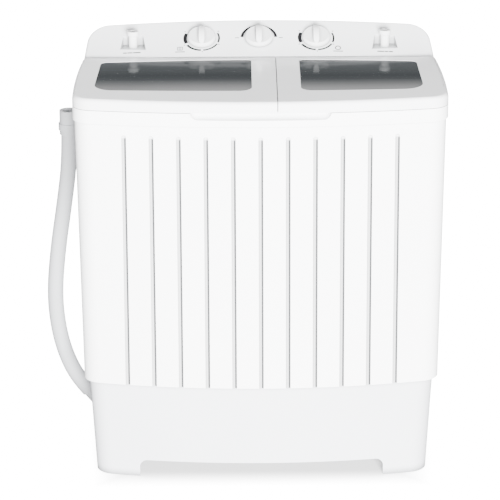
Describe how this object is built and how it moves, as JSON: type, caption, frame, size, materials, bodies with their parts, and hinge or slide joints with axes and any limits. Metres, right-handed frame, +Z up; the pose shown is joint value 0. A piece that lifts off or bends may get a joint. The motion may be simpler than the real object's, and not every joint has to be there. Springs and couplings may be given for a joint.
{
  "type": "twin tub washer",
  "caption": "Free-standing washing machine with a wash tub and a spin basket side by side under two hinged lids with smoked windows, and a drain hose on its left side.",
  "frame": {"origin": "on the floor under the middle of the machine, the free hose not counted", "axes": "+Z up, front faces -Y, +X to the right as seen from the front"},
  "size_m": [0.6972, 0.373, 0.7389],
  "materials": {
    "base_white": "moulded satin white",
    "cabinet_white": "smooth white moulding",
    "deck_white": "smooth white moulding",
    "console_white": "satin pale grey-white",
    "lid_white": "glossy pale grey-white",
    "smoked_pane": "smoked transparent acrylic",
    "knob_white": "glossy white",
    "hose_grey": "soft pale grey hose",
    "inner_white": "moulded white",
    "pulsator_blue": "pale blue-white",
    "rubber_black": "black rubber",
    "rubber_grey": "grey rubber",
    "steel": "machined steel",
    "zinc_steel": "zinc plated",
    "motor_metal": "cast motor housing",
    "switch_plastic": "dark technical plastic",
    "back_grey": "matt white sheet",
    "filter_blue": "translucent blue plastic"
  },
  "bodies": {
    "cabinet": {"base_plinth": "base_white", "foot_pads": "rubber_grey", "cabinet_shell": "cabinet_white", "rear_cover": "back_grey", "rear_screws": "zinc_steel", "cord_gland": "rubber_black", "top_deck": "deck_white", "console_fascia": "console_white", "console_back": "back_grey", "wash_inlet_spigot": "knob_white", "spin_inlet_spigot": "knob_white", "inlet_ducts": "inner_white", "wash_timer": "switch_plastic", "selector_unit": "switch_plastic", "spin_timer": "switch_plastic", "wash_tub": "inner_white", "spin_chamber": "inner_white", "shaft_housing": "zinc_steel", "shaft_bearings": "steel", "pulsator_seal": "rubber_black", "drive_belt": "rubber_black", "wash_motor": "motor_metal", "motor_bracket": "zinc_steel", "run_capacitor": "switch_plastic", "spin_motor": "motor_metal", "suspension_springs": "steel", "brake_bracket": "zinc_steel", "chamber_seal": "rubber_black", "drain_valve_body": "inner_white", "drain_pipe": "inner_white", "spin_drain_pipe": "inner_white", "drain_outlet": "hose_grey", "drain_hose": "hose_grey", "hose_end_cuff": "hose_grey", "hose_hook": "hose_grey"},
    "pulsator_unit": {"pulsator": "pulsator_blue", "pulsator_screw": "steel", "pulsator_shaft": "steel", "pulsator_pulley": "switch_plastic"},
    "wash_rotor": {"wash_motor_shaft": "steel", "motor_pulley": "steel"},
    "spin_rotor": {"spin_basket": "inner_white", "basket_safety_disc": "inner_white", "spin_shaft": "steel", "brake_drum": "motor_metal"},
    "wash_lid_unit": {"wash_lid": "lid_white", "wash_lid_window": "smoked_pane", "wash_lid_hinge_pins": "steel"},
    "spin_lid_unit": {"spin_lid": "lid_white", "spin_lid_window": "smoked_pane", "spin_lid_hinge_pins": "steel"},
    "wash_timer_dial": {"wash_timer_knob": "knob_white", "wash_timer_spindle": "steel"},
    "selector_dial": {"selector_knob": "knob_white", "selector_spindle": "steel"},
    "spin_timer_dial": {"spin_timer_knob": "knob_white", "spin_timer_spindle": "steel"},
    "brake": {"brake_lever": "zinc_steel"},
    "valve_plunger": {"drain_valve_plunger": "rubber_grey"},
    "filter": {"lint_filter": "filter_blue"}
  },
  "joints": [
    {"name": "pulsator_spin", "type": "hinge", "parent": "cabinet", "child": "pulsator_unit", "pos_m": [-0.14, -0.034, 0.31], "axis": [0, 0, 1], "continuous": true},
    {"name": "wash_motor_spin", "type": "hinge", "parent": "cabinet", "child": "wash_rotor", "pos_m": [-0.015, -0.085, 0.26], "axis": [0, 0, 1], "continuous": true},
    {"name": "basket_spin", "type": "hinge", "parent": "cabinet", "child": "spin_rotor", "pos_m": [0.168, -0.03, 0.31], "axis": [0, 0, 1], "continuous": true},
    {"name": "wash_lid_hinge", "type": "hinge", "parent": "cabinet", "child": "wash_lid_unit", "pos_m": [-0.14, 0.086, 0.689], "axis": [-1, 0, 0], "range_deg": [0, 100]},
    {"name": "spin_lid_hinge", "type": "hinge", "parent": "cabinet", "child": "spin_lid_unit", "pos_m": [0.168, 0.086, 0.689], "axis": [-1, 0, 0], "range_deg": [0, 100]},
    {"name": "wash_timer_turn", "type": "hinge", "parent": "cabinet", "child": "wash_timer_dial", "pos_m": [-0.101, 0.13527, 0.71808], "axis": [0, 0.4462, -0.8949], "range_deg": [0, 300]},
    {"name": "selector_turn", "type": "hinge", "parent": "cabinet", "child": "selector_dial", "pos_m": [0, 0.13527, 0.71808], "axis": [0, 0.4462, -0.8949], "range_deg": [-90, 90]},
    {"name": "spin_timer_turn", "type": "hinge", "parent": "cabinet", "child": "spin_timer_dial", "pos_m": [0.101, 0.13527, 0.71808], "axis": [0, 0.4462, -0.8949], "range_deg": [0, 300]},
    {"name": "brake_lever_pivot", "type": "hinge", "parent": "cabinet", "child": "brake", "pos_m": [0.232, 0.044, 0.282], "axis": [0, 0, -1], "range_deg": [0, 2.8]},
    {"name": "drain_valve_lift", "type": "slide", "parent": "cabinet", "child": "valve_plunger", "axis": [0, 0, 1], "range_m": [0, 0.012], "stiffness_N_per_m": 60, "springref_m": -0.004},
    {"name": "filter_lift", "type": "slide", "parent": "cabinet", "child": "filter", "axis": [0, 0, 1], "range_m": [0, 0.05]}
  ],
  "couplings": [
    {"joint": "wash_motor_spin", "follows": "pulsator_spin", "ratio": 4.8346},
    {"joint": "brake_lever_pivot", "follows": "spin_lid_hinge", "ratio": 0.028}
  ]
}
